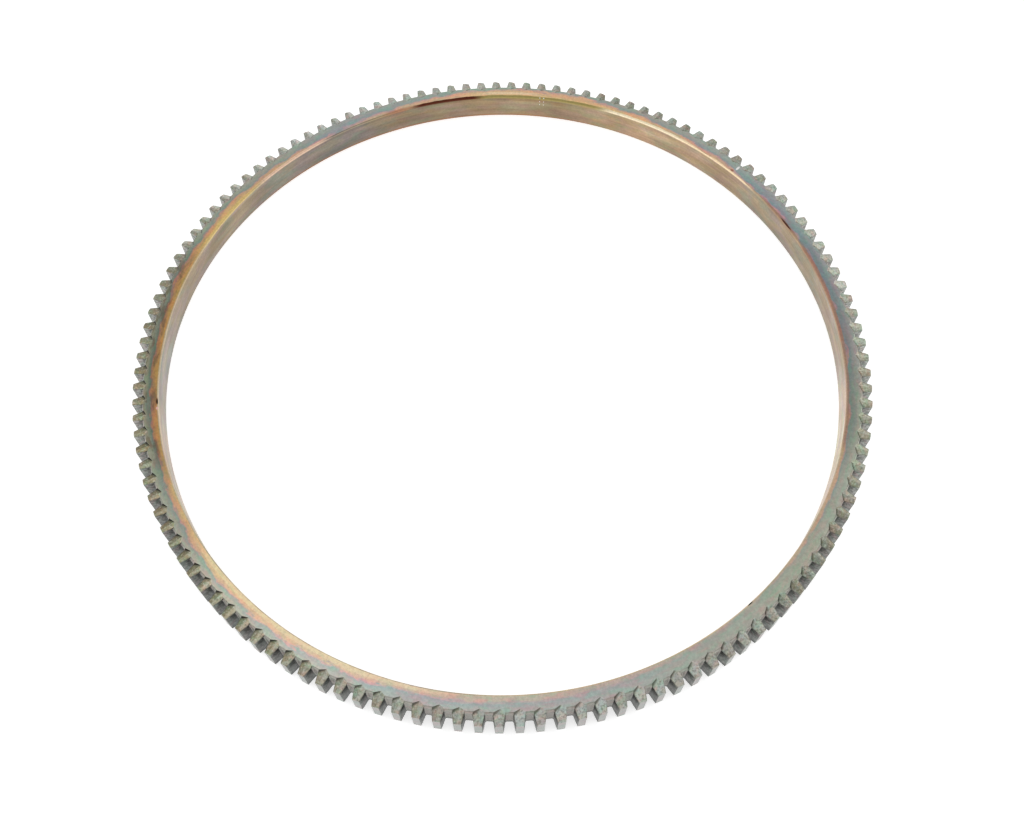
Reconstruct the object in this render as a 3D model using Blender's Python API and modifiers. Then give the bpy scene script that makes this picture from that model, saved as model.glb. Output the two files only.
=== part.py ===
"""Flywheel ring gear: one steel ring with outer teeth whose upper ends are pointed.

The ring lies flat on its lower face, with +Z up along its axis and the origin at the centre of
the lower face. One tooth stands on +X. A single pitch of the ring is modelled and cut, opened at
its two sides and then repeated around the axis, so every size below is written once.
"""
import bpy
import bmesh
import math
from mathutils import Matrix, Vector

# Gear sizes, in metres and radians.
TEETH = 129
MODULE = 0.003
PRESSURE_ANGLE = math.radians(12.0)
ADDENDUM = 0.8 * MODULE
DEDENDUM = 1.0 * MODULE
BACKLASH = 0.01 * MODULE
ROOT_FILLET = 0.3 * MODULE
FILLET_RISE = 0.8 * ROOT_FILLET
FILLET_RUN = 0.8 * ROOT_FILLET
FILLET_LEAN = 0.15 * ROOT_FILLET

# Ring sizes.
BODY_WALL = 0.0085
FACE_WIDTH = 0.016
BORE_CHAMFER = 0.0006

# Pointed upper tooth ends. A ridge runs outward from an apex on the upper face and drops to the
# tip. A facet falls away on each side of it. Inward each facet ends at a sloping wall that starts
# at the apex, and the clockwise facet is the deeper one. The walls end a little inward of the
# tooth's root corners, where a chamfer takes the edge off the upper face along each gap.
APEX_INSET = 0.0022
RIDGE_OFFSET = 0.0004
TIP_DROP = 0.0013
DEEP_DROP = 0.0015
DEEP_WALL_SLOPE = math.radians(60.0)
SHALLOW_DROP = 0.0006
SHALLOW_WALL_SLOPE = math.radians(30.0)
GAP_INSET = 0.0006
GAP_SLOPE = math.radians(60.0)

# Facets along the curves of one pitch.
FILLET_STEPS = 2
FLANK_STEPS = 2
BORE_STEPS = 2
SMOOTH_BELOW = math.radians(25.0)
FLAT_BELOW = math.radians(0.1)
WELD_DISTANCE = 0.00001

# Reach of the cutters past what they cut.
CUTTER_LENGTH = 6.0 * MODULE
CUTTER_WIDTH = 3.2 * MODULE
CUTTER_HEIGHT = 4.0 * MODULE

# Look of the steel.
STEEL_COLOUR = (0.36, 0.38, 0.35, 1.0)
STEEL_METALLIC = 0.8
STEEL_ROUGHNESS = 0.45

# Sizes that follow from the ones above.
PITCH_ANGLE = 2.0 * math.pi / TEETH
PITCH_RADIUS = 0.5 * MODULE * TEETH
BASE_RADIUS = PITCH_RADIUS * math.cos(PRESSURE_ANGLE)
TIP_RADIUS = PITCH_RADIUS + ADDENDUM
ROOT_RADIUS = PITCH_RADIUS - DEDENDUM
BORE_RADIUS = ROOT_RADIUS - BODY_WALL


def involute(angle):
    """Return the involute function of an angle."""
    return math.tan(angle) - angle


def half_tooth_angle(radius):
    """Return half of the angle that one tooth takes up at a radius."""
    at_pitch = (0.5 * math.pi * MODULE - BACKLASH) / (2.0 * PITCH_RADIUS)
    here = math.acos(min(1.0, BASE_RADIUS / radius))
    return at_pitch + involute(PRESSURE_ANGLE) - involute(here)


def polar(radius, angle):
    """Return the point of the ring's plane at a radius and an angle."""
    return Vector((radius * math.cos(angle), radius * math.sin(angle)))


def flank_points():
    """Return the points of one flank, from the fillet's end out to the tip."""
    start = ROOT_RADIUS + FILLET_RISE
    radii = [start + (TIP_RADIUS - start) * i / FLANK_STEPS for i in range(FLANK_STEPS + 1)]
    return [polar(radius, half_tooth_angle(radius)) for radius in radii]


def fillet_points(flank_start):
    """Return the points of the root fillet, from the root circle up to the flank."""
    corner_angle = math.atan2(flank_start.y, flank_start.x) + FILLET_LEAN / ROOT_RADIUS
    corner = polar(ROOT_RADIUS, corner_angle)
    foot = polar(ROOT_RADIUS, corner_angle + FILLET_RUN / ROOT_RADIUS)
    points = []
    for i in range(FILLET_STEPS):
        t = i / FILLET_STEPS
        near_foot = foot.lerp(corner, t)
        near_flank = corner.lerp(flank_start, t)
        points.append(near_foot.lerp(near_flank, t))
    return points


def sector_outline():
    """Return the outline of one pitch, with its tooth on +X, counter-clockwise."""
    flank = flank_points()
    upper = [polar(ROOT_RADIUS, 0.5 * PITCH_ANGLE)] + fillet_points(flank[0]) + flank
    lower = [Vector((point.x, -point.y)) for point in upper]
    bore = []
    for i in range(BORE_STEPS + 1):
        angle = PITCH_ANGLE * (0.5 - i / BORE_STEPS)
        bore.append(polar(BORE_RADIUS, angle))
    return lower + upper[::-1] + bore


def new_collection(name):
    """Return a new collection that is linked into the scene."""
    collection = bpy.data.collections.new(name)
    bpy.context.scene.collection.children.link(collection)
    return collection


def evaluated_mesh(obj, name):
    """Return a copy of an object's mesh with its curve or modifiers worked out."""
    graph = bpy.context.evaluated_depsgraph_get()
    mesh = bpy.data.meshes.new_from_object(obj.evaluated_get(graph))
    mesh.name = name
    return mesh


def remove_object(obj):
    """Remove a working object from the file."""
    bpy.data.objects.remove(obj, do_unlink=True)


def sector_blank(collection):
    """Return one pitch of the ring as a closed solid with square tooth ends."""
    curve = bpy.data.curves.new("pitch_outline", "CURVE")
    curve.dimensions = "2D"
    curve.fill_mode = "BOTH"
    curve.extrude = 0.5 * FACE_WIDTH
    outline = sector_outline()
    spline = curve.splines.new("POLY")
    spline.points.add(len(outline) - 1)
    for point, place in zip(spline.points, outline):
        point.co = (place.x, place.y, 0.0, 1.0)
    spline.use_cyclic_u = True
    drawn = bpy.data.objects.new("pitch_outline", curve)
    drawn.location.z = 0.5 * FACE_WIDTH
    collection.objects.link(drawn)
    bpy.context.view_layer.update()
    mesh = evaluated_mesh(drawn, "pitch_blank")
    mesh.transform(drawn.matrix_world)
    remove_object(drawn)
    blank = bpy.data.objects.new("pitch_blank", mesh)
    collection.objects.link(blank)
    return blank


def chamfer_bore(mesh):
    """Break the two edges of the bore."""
    bm = bmesh.new()
    bm.from_mesh(mesh)
    bmesh.ops.remove_doubles(bm, verts=bm.verts, dist=WELD_DISTANCE)
    bmesh.ops.dissolve_limit(bm, angle_limit=FLAT_BELOW, verts=bm.verts, edges=bm.edges)
    limit = BORE_RADIUS + WELD_DISTANCE
    rim = []
    for edge in bm.edges:
        low, high = edge.verts
        level = abs(low.co.z - high.co.z) < WELD_DISTANCE
        inner = low.co.xy.length < limit and high.co.xy.length < limit
        if level and inner:
            rim.append(edge)
    bmesh.ops.bevel(
        bm, geom=rim, offset=BORE_CHAMFER, offset_type="OFFSET", segments=1, affect="EDGES"
    )
    bm.to_mesh(mesh)
    bm.free()


def height_plane(point, slope_out, slope_side):
    """Return a plane through a point, as the point and its upward normal."""
    return point, Vector((-slope_out, -slope_side, 1.0)).normalized()


def wall_plane(apex, foot, slope):
    """Return the plane that falls outward from the line between the apex and a foot point."""
    along = foot - apex
    away = Vector((abs(along.y), -abs(along.y) / along.y * along.x, 0.0)).normalized()
    return apex, Vector((away.x, away.y, 1.0 / math.tan(slope))).normalized()


def trimmed_box(name, middle, width, planes, turn, collection):
    """Return a box about a point that lies above each plane, turned about the ring's axis."""
    bm = bmesh.new()
    bmesh.ops.create_cube(bm, size=1.0)
    size = Vector((CUTTER_LENGTH, width, CUTTER_HEIGHT))
    bmesh.ops.scale(bm, vec=size, verts=bm.verts)
    bmesh.ops.translate(bm, vec=middle, verts=bm.verts)
    for point, normal in planes:
        geometry = list(bm.verts) + list(bm.edges) + list(bm.faces)
        bmesh.ops.bisect_plane(
            bm, geom=geometry, plane_co=point, plane_no=normal, clear_inner=True
        )
        rim = [edge for edge in bm.edges if edge.is_boundary]
        bmesh.ops.contextual_create(bm, geom=rim)
    bmesh.ops.recalc_face_normals(bm, faces=bm.faces)
    mesh = bpy.data.meshes.new(name)
    bm.to_mesh(mesh)
    bm.free()
    mesh.transform(Matrix.Rotation(turn, 4, "Z"))
    cutter = bpy.data.objects.new(name, mesh)
    cutter.hide_render = True
    cutter.display_type = "WIRE"
    collection.objects.link(cutter)
    return cutter


def end_cutters(collection):
    """Return the two cutters that point one tooth's upper end, the deep one first."""
    apex = Vector((ROOT_RADIUS - APEX_INSET, RIDGE_OFFSET, FACE_WIDTH))
    corner = polar(ROOT_RADIUS, half_tooth_angle(ROOT_RADIUS))
    inward = polar(GAP_INSET, 0.5 * PITCH_ANGLE)
    deep_foot = Vector((corner.x - inward.x, inward.y - corner.y, FACE_WIDTH))
    shallow_foot = Vector((corner.x - inward.x, corner.y - inward.y, FACE_WIDTH))
    fall = TIP_DROP / (TIP_RADIUS - apex.x)
    fall_to_foot = fall * (corner.x - apex.x)
    deep_side = (DEEP_DROP - fall_to_foot) / (apex.y + corner.y)
    shallow_side = (SHALLOW_DROP - fall_to_foot) / (corner.y - apex.y)
    deep = [
        height_plane(apex, -fall, deep_side),
        wall_plane(apex, deep_foot, DEEP_WALL_SLOPE),
    ]
    shallow = [
        height_plane(apex, -fall, -shallow_side),
        wall_plane(apex, shallow_foot, SHALLOW_WALL_SLOPE),
    ]
    middle = Vector((TIP_RADIUS - MODULE, RIDGE_OFFSET, FACE_WIDTH))
    return [
        trimmed_box("deep_end_cutter", middle, CUTTER_WIDTH, deep, 0.0, collection),
        trimmed_box("shallow_end_cutter", middle, CUTTER_WIDTH, shallow, 0.0, collection),
    ]


def gap_cutters(collection):
    """Return the cutters that take the edge off the upper face along the gap on either side."""
    half_gap = 0.5 * PITCH_ANGLE - half_tooth_angle(ROOT_RADIUS)
    width = 2.0 * ROOT_RADIUS * math.sin(half_gap)
    rim = Vector((ROOT_RADIUS * math.cos(half_gap) - GAP_INSET, 0.0, FACE_WIDTH))
    planes = [height_plane(rim, -math.tan(GAP_SLOPE), 0.0)]
    cutters = []
    for side in (-0.5, 0.5):
        turn = side * PITCH_ANGLE
        cutters.append(trimmed_box("gap_cutter", rim, width, planes, turn, collection))
    return cutters


def cut(obj, cutters):
    """Cut an object with each cutter in turn and keep the worked-out mesh."""
    for cutter in cutters:
        modifier = obj.modifiers.new(cutter.name, "BOOLEAN")
        modifier.operation = "DIFFERENCE"
        modifier.solver = "EXACT"
        modifier.object = cutter
    bpy.context.view_layer.update()
    mesh = evaluated_mesh(obj, "pitch_cut")
    obj.modifiers.clear()
    obj.data = mesh


def open_sides(mesh):
    """Remove the faces that lie in the two planes where the next pitch joins."""
    bm = bmesh.new()
    bm.from_mesh(mesh)
    bmesh.ops.remove_doubles(bm, verts=bm.verts, dist=WELD_DISTANCE)
    closed = []
    for side in (-0.5, 0.5):
        angle = side * PITCH_ANGLE
        normal = Vector((-math.sin(angle), math.cos(angle), 0.0))
        for face in bm.faces:
            if all(abs(vert.co.dot(normal)) < WELD_DISTANCE for vert in face.verts):
                closed.append(face)
    bmesh.ops.delete(bm, geom=closed, context="FACES")
    bm.to_mesh(mesh)
    bm.free()


def repeat_around(obj, collection):
    """Repeat one pitch around the axis and weld it to its neighbours."""
    turn = bpy.data.objects.new("pitch_turn", None)
    turn.rotation_euler.z = PITCH_ANGLE
    collection.objects.link(turn)
    array = obj.modifiers.new("teeth", "ARRAY")
    array.fit_type = "FIXED_COUNT"
    array.count = TEETH
    array.use_relative_offset = False
    array.use_object_offset = True
    array.offset_object = turn
    array.use_merge_vertices = True
    array.use_merge_vertices_cap = True
    array.merge_threshold = WELD_DISTANCE


def steel_material():
    """Return the grey-green, heat-tinted steel of the ring."""
    material = bpy.data.materials.new("heat_tinted_steel")
    material.use_nodes = True
    shader = material.node_tree.nodes["Principled BSDF"]
    shader.inputs["Base Color"].default_value = STEEL_COLOUR
    shader.inputs["Metallic"].default_value = STEEL_METALLIC
    shader.inputs["Roughness"].default_value = STEEL_ROUGHNESS
    material.diffuse_color = STEEL_COLOUR
    return material


def main():
    """Build the ring gear."""
    for obj in list(bpy.data.objects):
        bpy.data.objects.remove(obj, do_unlink=True)
    parts = new_collection("flywheel_ring_gear")
    guides = new_collection("cutters")
    ring = sector_blank(parts)
    ring.name = "ring_gear"
    chamfer_bore(ring.data)
    cut(ring, end_cutters(guides) + gap_cutters(guides))
    open_sides(ring.data)
    repeat_around(ring, guides)
    ring.data.name = "ring_gear"
    ring.data.materials.clear()
    ring.data.materials.append(steel_material())
    ring.data.shade_smooth()
    ring.data.set_sharp_from_angle(angle=SMOOTH_BELOW)


main()
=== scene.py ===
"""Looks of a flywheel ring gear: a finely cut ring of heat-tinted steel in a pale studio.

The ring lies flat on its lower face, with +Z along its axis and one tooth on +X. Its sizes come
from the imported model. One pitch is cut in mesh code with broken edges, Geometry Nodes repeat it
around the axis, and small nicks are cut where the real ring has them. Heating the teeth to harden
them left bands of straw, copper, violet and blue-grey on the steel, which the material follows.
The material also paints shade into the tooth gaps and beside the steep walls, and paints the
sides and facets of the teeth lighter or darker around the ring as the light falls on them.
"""
from __future__ import annotations

import logging
import math
from dataclasses import dataclass, field
from enum import Enum

import bmesh
import bpy
from mathutils import Matrix, Vector


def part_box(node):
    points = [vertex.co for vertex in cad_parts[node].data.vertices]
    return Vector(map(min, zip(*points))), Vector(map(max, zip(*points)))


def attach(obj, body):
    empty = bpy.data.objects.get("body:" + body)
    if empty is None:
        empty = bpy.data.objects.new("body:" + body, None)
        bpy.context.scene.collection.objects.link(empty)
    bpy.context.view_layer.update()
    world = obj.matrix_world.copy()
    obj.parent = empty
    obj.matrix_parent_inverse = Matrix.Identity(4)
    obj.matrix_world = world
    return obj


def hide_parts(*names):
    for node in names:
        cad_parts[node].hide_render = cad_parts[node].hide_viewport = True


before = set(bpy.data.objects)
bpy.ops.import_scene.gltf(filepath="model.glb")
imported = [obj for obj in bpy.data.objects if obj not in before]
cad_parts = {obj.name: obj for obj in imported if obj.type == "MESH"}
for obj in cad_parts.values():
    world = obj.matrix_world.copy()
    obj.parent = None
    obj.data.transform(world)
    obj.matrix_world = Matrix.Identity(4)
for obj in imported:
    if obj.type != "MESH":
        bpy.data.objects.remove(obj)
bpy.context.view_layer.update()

LOG = logging.getLogger("ring_gear_scene")
NODE = "ring_gear"
BODY = "root"
MM = 0.001
SURFACE_KIND = "surface_kind"
BROKEN_EDGE = "broken_edge"

Colour = tuple[float, float, float, float]


def colour(red: float, green: float, blue: float) -> Colour:
    """Return an opaque colour from its linear parts."""
    return (red, green, blue, 1.0)


class EdgeKind(Enum):
    """Edges of one pitch, each with the width of its break in metres."""

    BORE = 0.60 * MM
    LOWER = 0.20 * MM
    ROOT = 0.16 * MM
    TIP = 0.16 * MM
    END = 0.08 * MM
    FLANK = 0.12 * MM
    WALL = 0.08 * MM
    NONE = 0.0


class Surface(Enum):
    """Kinds of surface, kept on each face as a number that the material reads."""

    FACE = 0.0
    TOOTH_END = 1.0
    FLANK = 2.0
    TIP = 3.0
    ROOT = 4.0
    WALL = 5.0
    BORE = 6.0

    def mask(self, sheet: NodeSheet, kind: Term) -> Term:
        """Return 1 on this kind of surface and 0 on the others."""
        return sheet.math("COMPARE", kind, self.value, 0.5)


@dataclass(frozen=True)
class RingSizes:
    """Driving sizes of the ring, with its proportions as a gear cutter gives them.

    The radii and the face width are metres, and the angles are radians.
    """

    tip_radius: float
    bore_radius: float
    face_width: float
    teeth: int = 129
    addendum: float = 0.8
    dedendum: float = 1.0
    pressure_angle: float = math.radians(12.0)
    backlash: float = 0.01
    fillet: float = 0.3
    apex_inset: float = 2.2 * MM
    ridge_offset: float = 0.4 * MM
    tip_drop: float = 1.3 * MM
    deep_drop: float = 1.5 * MM
    deep_slope: float = math.radians(60.0)
    shallow_drop: float = 0.6 * MM
    shallow_slope: float = math.radians(30.0)
    gap_inset: float = 0.6 * MM
    gap_slope: float = math.radians(60.0)

    @classmethod
    def from_frame(cls) -> RingSizes:
        """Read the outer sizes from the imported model.

        Returns:
            The ring's sizes.
        """
        low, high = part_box(NODE)
        corners = [vert.co.xy.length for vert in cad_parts[NODE].data.vertices]
        return cls(max(corners), min(corners), high.z - low.z)

    @property
    def module(self) -> float:
        """Return the module, from the tip circle and the count of teeth."""
        return 2.0 * self.tip_radius / (self.teeth + 2.0 * self.addendum)

    @property
    def pitch(self) -> float:
        """Return the angle from one tooth to the next."""
        return 2.0 * math.pi / self.teeth

    @property
    def root_radius(self) -> float:
        """Return the radius of the root circle."""
        return self.tip_radius - (self.addendum + self.dedendum) * self.module

    def half_tooth(self, radius: float) -> float:
        """Return half of the angle that a tooth takes up at a radius.

        Args:
            radius: Distance from the axis.

        Returns:
            The half angle, from the involute of the base circle.
        """
        pitch_radius = 0.5 * self.module * self.teeth
        base_radius = pitch_radius * math.cos(self.pressure_angle)
        here = math.acos(min(1.0, base_radius / radius))
        at_pitch = (0.5 * math.pi - self.backlash) * self.module / (2.0 * pitch_radius)
        flank = math.tan(self.pressure_angle) - self.pressure_angle
        return at_pitch + flank - (math.tan(here) - here)


def polar(radius: float, angle: float, height: float = 0.0) -> Vector:
    """Return the point at a radius, an angle and a height."""
    return Vector((radius * math.cos(angle), radius * math.sin(angle), height))


def plain_mesh(obj: bpy.types.Object, name: str) -> bpy.types.Mesh:
    """Work out an object's modifiers.

    Args:
        obj: The object to read.
        name: Name of the new mesh.

    Returns:
        A plain mesh with the modifiers' result.
    """
    bpy.context.view_layer.update()
    graph = bpy.context.evaluated_depsgraph_get()
    mesh = bpy.data.meshes.new_from_object(obj.evaluated_get(graph))
    mesh.name = name
    return mesh


def new_object(name: str, data: bpy.types.ID | None) -> bpy.types.Object:
    """Return a new object that is linked into the scene."""
    obj = bpy.data.objects.new(name, data)
    bpy.context.scene.collection.objects.link(obj)
    return obj


def remove(obj: bpy.types.Object) -> None:
    """Remove a working object."""
    bpy.data.objects.remove(obj, do_unlink=True)


def object_of(name: str, bm: bmesh.types.BMesh) -> bpy.types.Object:
    """Turn a mesh under construction into an object.

    Args:
        name: Name of the object and its mesh.
        bm: The mesh, which is freed.

    Returns:
        The new object.
    """
    mesh = bpy.data.meshes.new(name)
    bm.to_mesh(mesh)
    bm.free()
    return new_object(name, mesh)


def subtract(body: bpy.types.Object, cutter: bpy.types.Object) -> None:
    """Cut one object out of another with a modifier.

    Args:
        body: The object that is cut.
        cutter: The solid that cuts.
    """
    modifier = body.modifiers.new(cutter.name, "BOOLEAN")
    modifier.operation = "DIFFERENCE"
    modifier.solver = "EXACT"
    modifier.object = cutter


def settle(body: bpy.types.Object, name: str) -> None:
    """Turn the result of an object's modifiers into its own mesh.

    Args:
        body: The object.
        name: Name of the new mesh.
    """
    mesh = plain_mesh(body, name)
    body.modifiers.clear()
    body.data = mesh


@dataclass
class ToothPitch:
    """One pitch of the ring, with its tooth on +X, its end pointed and its edges broken.

    The rise and lean of the fillets are shares of their radius, and the sizes of the cutters are
    in modules. Edges flatter than the least corner stay as they are.
    """

    sizes: RingSizes
    neighbours: int = 1
    fillet_steps: int = 3
    flank_steps: int = 3
    bore_steps: int = 4
    tip_steps: int = 2
    widest_break: float = 0.60 * MM
    break_segments: int = 2
    shortest: float = 0.12 * MM
    near: float = 0.05 * MM
    cut_distance: float = 1e-7
    least_corner: float = math.radians(12.0)
    tall: float = 0.6
    flat_below: float = math.radians(0.1)
    fillet_rise: float = 0.8
    fillet_lean: float = 0.15
    cutter_length: float = 6.0
    cutter_height: float = 4.0
    cutter_width: float = 3.2
    guides: tuple[str, str] = ("steel_guide", "break_guide")

    def tooth_side(self) -> list[Vector]:
        """Draw the +Y side of the tooth, with the fillet at its foot.

        Returns:
            The points from the middle of a gap up to the tooth's tip.
        """
        size = self.sizes
        reach = size.fillet * size.module
        start = size.root_radius + self.fillet_rise * reach
        radii = [
            start + (size.tip_radius - start) * i / self.flank_steps
            for i in range(self.flank_steps + 1)
        ]
        flank = [polar(radius, size.half_tooth(radius)) for radius in radii]
        turn = reach / size.root_radius
        corner_angle = math.atan2(flank[0].y, flank[0].x) + self.fillet_lean * turn
        corner = polar(size.root_radius, corner_angle)
        foot = polar(size.root_radius, corner_angle + self.fillet_rise * turn)
        points = [polar(size.root_radius, 0.5 * size.pitch)]
        for i in range(self.fillet_steps):
            share = i / self.fillet_steps
            points.append(foot.lerp(corner, share).lerp(corner.lerp(flank[0], share), share))
        return points + flank

    def outline(self) -> list[Vector]:
        """Draw the outline of the pitch and its neighbours.

        Returns:
            The points, counter-clockwise, along the teeth and back along the bore.
        """
        size = self.sizes
        side = self.tooth_side()
        tip_angle = size.half_tooth(size.tip_radius)
        tips = [
            polar(size.tip_radius, tip_angle * (2.0 * i / self.tip_steps - 1.0))
            for i in range(1, self.tip_steps)
        ]
        tooth = [Vector((p.x, -p.y, 0.0)) for p in side] + tips + side[:0:-1]
        points = []
        for k in range(-self.neighbours, self.neighbours + 1):
            turn = Matrix.Rotation(k * size.pitch, 3, "Z")
            points += [turn @ point for point in tooth]
        end = (self.neighbours + 0.5) * size.pitch
        points.append(polar(size.root_radius, end))
        steps = self.bore_steps * (2 * self.neighbours + 1)
        bore = [polar(size.bore_radius, end * (1.0 - 2.0 * i / steps)) for i in range(steps + 1)]
        return points + bore

    def blank(self) -> bpy.types.Object:
        """Draw the outline up to the face width.

        Returns:
            A body with square tooth ends.
        """
        bm = bmesh.new()
        floor = bm.faces.new([bm.verts.new(point) for point in self.outline()])
        risen = bmesh.ops.extrude_face_region(bm, geom=[floor])["geom"]
        lifted = [item for item in risen if isinstance(item, bmesh.types.BMVert)]
        bmesh.ops.translate(bm, vec=Vector((0.0, 0.0, self.sizes.face_width)), verts=lifted)
        bmesh.ops.recalc_face_normals(bm, faces=bm.faces)
        return object_of("pitch_blank", bm)

    def end_planes(self, deep: bool) -> list[tuple[Vector, Vector]]:
        """Return the planes that bound one side of the pointed end from below.

        Args:
            deep: True for the clockwise side, which is cut deeper.

        Returns:
            The facet and the sloping wall inward of it, as points and upward normals.
        """
        size = self.sizes
        side = -1.0 if deep else 1.0
        drop = size.deep_drop if deep else size.shallow_drop
        slope = size.deep_slope if deep else size.shallow_slope
        apex = Vector((size.root_radius - size.apex_inset, size.ridge_offset, size.face_width))
        corner = polar(
            size.root_radius, side * size.half_tooth(size.root_radius), size.face_width
        )
        fall = size.tip_drop / (size.tip_radius - apex.x)
        across = (drop - fall * (corner.x - apex.x)) / abs(corner.y - apex.y)
        along = corner - polar(size.gap_inset, 0.5 * side * size.pitch) - apex
        away = Vector((abs(along.y), -side * along.x, 0.0)).normalized()
        facet = Vector((fall, side * across, 1.0)).normalized()
        wall = Vector((away.x, away.y, 1.0 / math.tan(slope))).normalized()
        return [(apex, facet), (apex, wall)]

    def cutter(self, middle: Vector, width: float, planes: list[tuple[Vector, Vector]],
               turns: float) -> bpy.types.Object:
        """Make a box that lies above each plane.

        Args:
            middle: The box's middle before it is trimmed.
            width: Its width along the rim.
            planes: Points and upward normals of the planes.
            turns: How many pitches it is turned about the ring's axis.

        Returns:
            The solid that cuts.
        """
        bm = bmesh.new()
        bmesh.ops.create_cube(bm, size=1.0)
        module = self.sizes.module
        reach = Vector((self.cutter_length * module, width, self.cutter_height * module))
        bmesh.ops.scale(bm, vec=reach, verts=bm.verts)
        bmesh.ops.translate(bm, vec=middle, verts=bm.verts)
        for point, normal in planes:
            bmesh.ops.bisect_plane(
                bm, geom=bm.verts[:] + bm.edges[:] + bm.faces[:],
                plane_co=point, plane_no=normal, clear_inner=True,
            )
            rim = [edge for edge in bm.edges if edge.is_boundary]
            bmesh.ops.contextual_create(bm, geom=rim)
        bmesh.ops.recalc_face_normals(bm, faces=bm.faces)
        made = object_of("cutter", bm)
        made.data.transform(Matrix.Rotation(turns * self.sizes.pitch, 4, "Z"))
        return made

    def cutters(self) -> list[bpy.types.Object]:
        """Make the cutters of the pitch and its neighbours.

        Returns:
            The solids that point each tooth's end and chamfer the face along each gap.
        """
        size = self.sizes
        middle = Vector((size.tip_radius - size.module, size.ridge_offset, size.face_width))
        half_gap = 0.5 * size.pitch - size.half_tooth(size.root_radius)
        rim = Vector(
            (size.root_radius * math.cos(half_gap) - size.gap_inset, 0.0, size.face_width)
        )
        chamfer = Vector((math.tan(size.gap_slope), 0.0, 1.0)).normalized()
        gap = 2.0 * size.root_radius * math.sin(half_gap)
        wide = self.cutter_width * size.module
        made = []
        for k in range(-self.neighbours, self.neighbours + 1):
            made += [self.cutter(middle, wide, self.end_planes(deep), k) for deep in (True, False)]
        for k in range(-self.neighbours, self.neighbours + 2):
            made.append(self.cutter(rim, gap, [(rim, chamfer)], k - 0.5))
        return made

    def cut_ends(self, body: bpy.types.Object) -> None:
        """Point the end of each tooth on the body.

        Args:
            body: The body with square tooth ends.
        """
        cutters = self.cutters()
        for cutter in cutters:
            subtract(body, cutter)
        settle(body, "pitch_cut")
        for cutter in cutters:
            remove(cutter)

    def edge_kind(self, edge: bmesh.types.BMEdge) -> EdgeKind:
        """Say which kind of break an edge gets.

        Args:
            edge: An edge of the cut body.

        Returns:
            The kind, or NONE for inner corners and for the facets of curves.
        """
        size = self.sizes
        low, high = sorted(edge.verts, key=lambda vert: vert.co.z)
        radius = 0.5 * (low.co.xy.length + high.co.xy.length)
        near = self.near
        if len(edge.link_faces) != 2 or edge.calc_face_angle_signed() < self.least_corner:
            return EdgeKind.NONE
        if max(low.co.xy.length, high.co.xy.length) < size.bore_radius + near:
            level = abs(low.co.z - high.co.z) < near
            return EdgeKind.BORE if level else EdgeKind.NONE
        if high.co.z < near:
            return EdgeKind.LOWER
        if high.co.z - low.co.z > self.tall * size.face_width:
            return EdgeKind.FLANK if radius > size.tip_radius - near else EdgeKind.NONE
        if min(low.co.xy.length, high.co.xy.length) > size.tip_radius - near:
            return EdgeKind.TIP
        if low.co.z > size.face_width - near:
            at_gap = radius > size.root_radius - size.gap_inset - near
            return EdgeKind.ROOT if at_gap else EdgeKind.WALL
        return EdgeKind.END

    def break_edges(self, body: bpy.types.Object) -> None:
        """Round the edges of the body.

        Args:
            body: The cut body, whose new faces get material slot 1.
        """
        bm = bmesh.new()
        bm.from_mesh(body.data)
        bmesh.ops.remove_doubles(bm, verts=bm.verts, dist=self.shortest)
        bmesh.ops.dissolve_limit(
            bm, angle_limit=self.flat_below, verts=bm.verts, edges=bm.edges
        )
        weight = bm.edges.layers.float.new("bevel_weight_edge")
        for edge in bm.edges:
            edge[weight] = self.edge_kind(edge).value / self.widest_break
        bm.to_mesh(body.data)
        bm.free()
        body.data.materials.clear()
        for name in self.guides:
            body.data.materials.append(bpy.data.materials.new(name))
        bevel = body.modifiers.new("broken_edges", "BEVEL")
        bevel.width = self.widest_break
        bevel.segments = self.break_segments
        bevel.limit_method = "WEIGHT"
        bevel.material = 1
        bevel.use_clamp_overlap = False
        settle(body, "pitch_broken")

    def open_sides(self, bm: bmesh.types.BMesh) -> None:
        """Cut the neighbours away and leave the pitch open at its two sides.

        Args:
            bm: The mesh of the pitch and its neighbours.
        """
        for side in (-1.0, 1.0):
            angle = 0.5 * side * self.sizes.pitch
            normal = side * Vector((-math.sin(angle), math.cos(angle), 0.0))
            bmesh.ops.bisect_plane(
                bm, geom=bm.verts[:] + bm.edges[:] + bm.faces[:], dist=self.cut_distance,
                plane_co=Vector(), plane_no=normal, clear_outer=True,
            )

    def surface_of(self, face: bmesh.types.BMFace) -> Surface:
        """Say which kind of surface a face belongs to.

        Args:
            face: A face of the finished pitch.

        Returns:
            The kind, by how far the face leans in or out, how level it is and where it lies.
        """
        leans_in, leans_out, square, level, like_wall, near_top = -0.3, 0.7, 0.9, 0.6, 0.97, 0.8
        size = self.sizes
        middle = face.calc_center_median()
        radius = middle.xy.length
        outward = face.normal.dot(Vector((middle.x, middle.y, 0.0)).normalized())
        on_wall = face.normal.dot(self.end_planes(True)[1][1]) > like_wall
        if outward < leans_in and radius < size.bore_radius + EdgeKind.BORE.value:
            return Surface.BORE
        if on_wall and middle.z > near_top * size.face_width:
            return Surface.WALL
        if abs(face.normal.z) > level:
            raised = middle.z > size.face_width - 0.01 * MM
            low = middle.z < 0.5 * size.face_width
            on_face = radius < size.root_radius - size.apex_inset or raised or low
            return Surface.FACE if on_face else Surface.TOOTH_END
        if outward > square and radius > size.tip_radius - 0.5 * size.module:
            return Surface.TIP
        return Surface.ROOT if outward > leans_out else Surface.FLANK

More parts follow.
